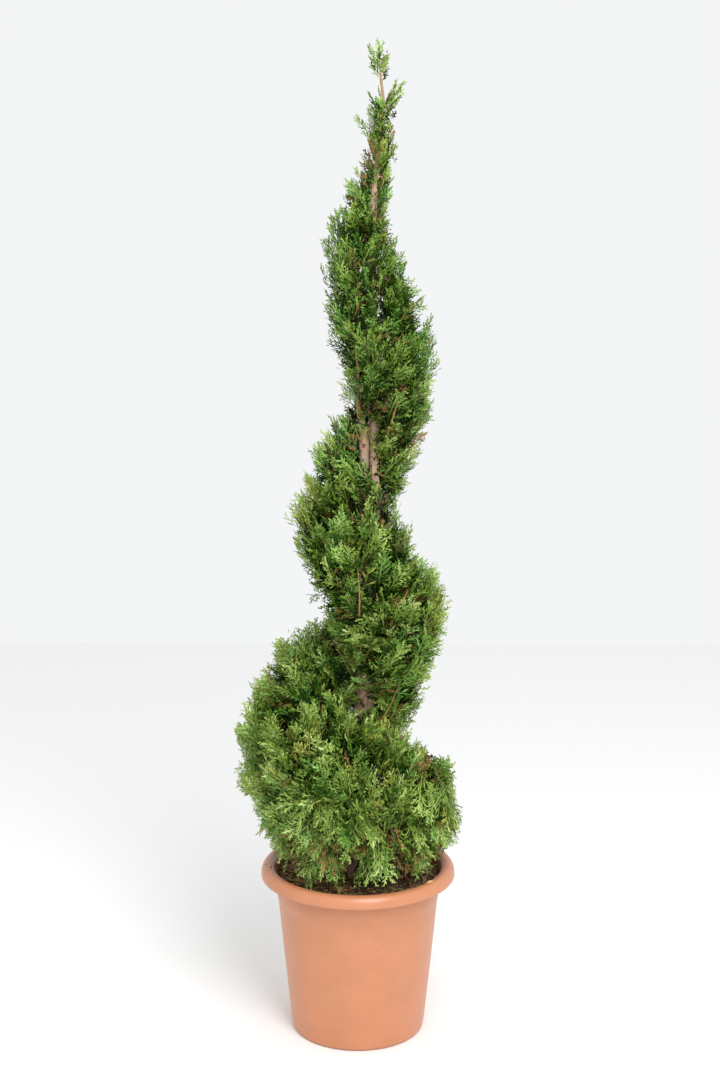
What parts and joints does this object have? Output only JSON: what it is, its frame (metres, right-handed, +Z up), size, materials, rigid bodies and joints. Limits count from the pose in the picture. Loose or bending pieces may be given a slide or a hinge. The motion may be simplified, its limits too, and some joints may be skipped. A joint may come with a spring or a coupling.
{
  "type": "potted spiral topiary conifer",
  "caption": "Slim evergreen conifer clipped to a rising spiral round its bare trunk, growing in a round rimmed plastic container pot.",
  "frame": {"origin": "centre of the pot's flat underside, on the surface that the pot stands on", "axes": "+Z up along the pot's axis, -Y towards the front, where the groove climbs from lower right to upper left"},
  "size_m": [0.4189, 0.4134, 1.918],
  "materials": {
    "pot": "satin",
    "soil": "matte",
    "bark": "matte",
    "foliage": "matte"
  },
  "bodies": {
    "root": {"bough_01": "bark", "bough_02": "bark", "bough_03": "bark", "bough_04": "bark", "bough_05": "bark", "bough_06": "bark", "bough_07": "bark", "bough_08": "bark", "bough_09": "bark", "bough_10": "bark", "bough_11": "bark", "bough_12": "bark", "bough_13": "bark", "bough_14": "bark", "bough_15": "bark", "bough_16": "bark", "mass_01": "foliage", "mass_02": "foliage", "mass_03_lower": "foliage", "mass_03_upper": "foliage", "mass_04_lower": "foliage", "mass_04_upper": "foliage", "mass_05": "foliage", "mass_06": "foliage", "mass_07": "foliage", "mass_08": "foliage", "mass_09": "foliage", "mass_10": "foliage", "mass_11": "foliage", "mass_12": "foliage", "mass_13": "foliage", "mass_14": "foliage", "mass_15": "foliage", "mass_16": "foliage", "pot": "pot", "second_leader": "bark", "side_tuft": "foliage", "soil": "soil", "tip_tuft": "foliage", "trunk": "bark"}
  },
  "joints": []
}
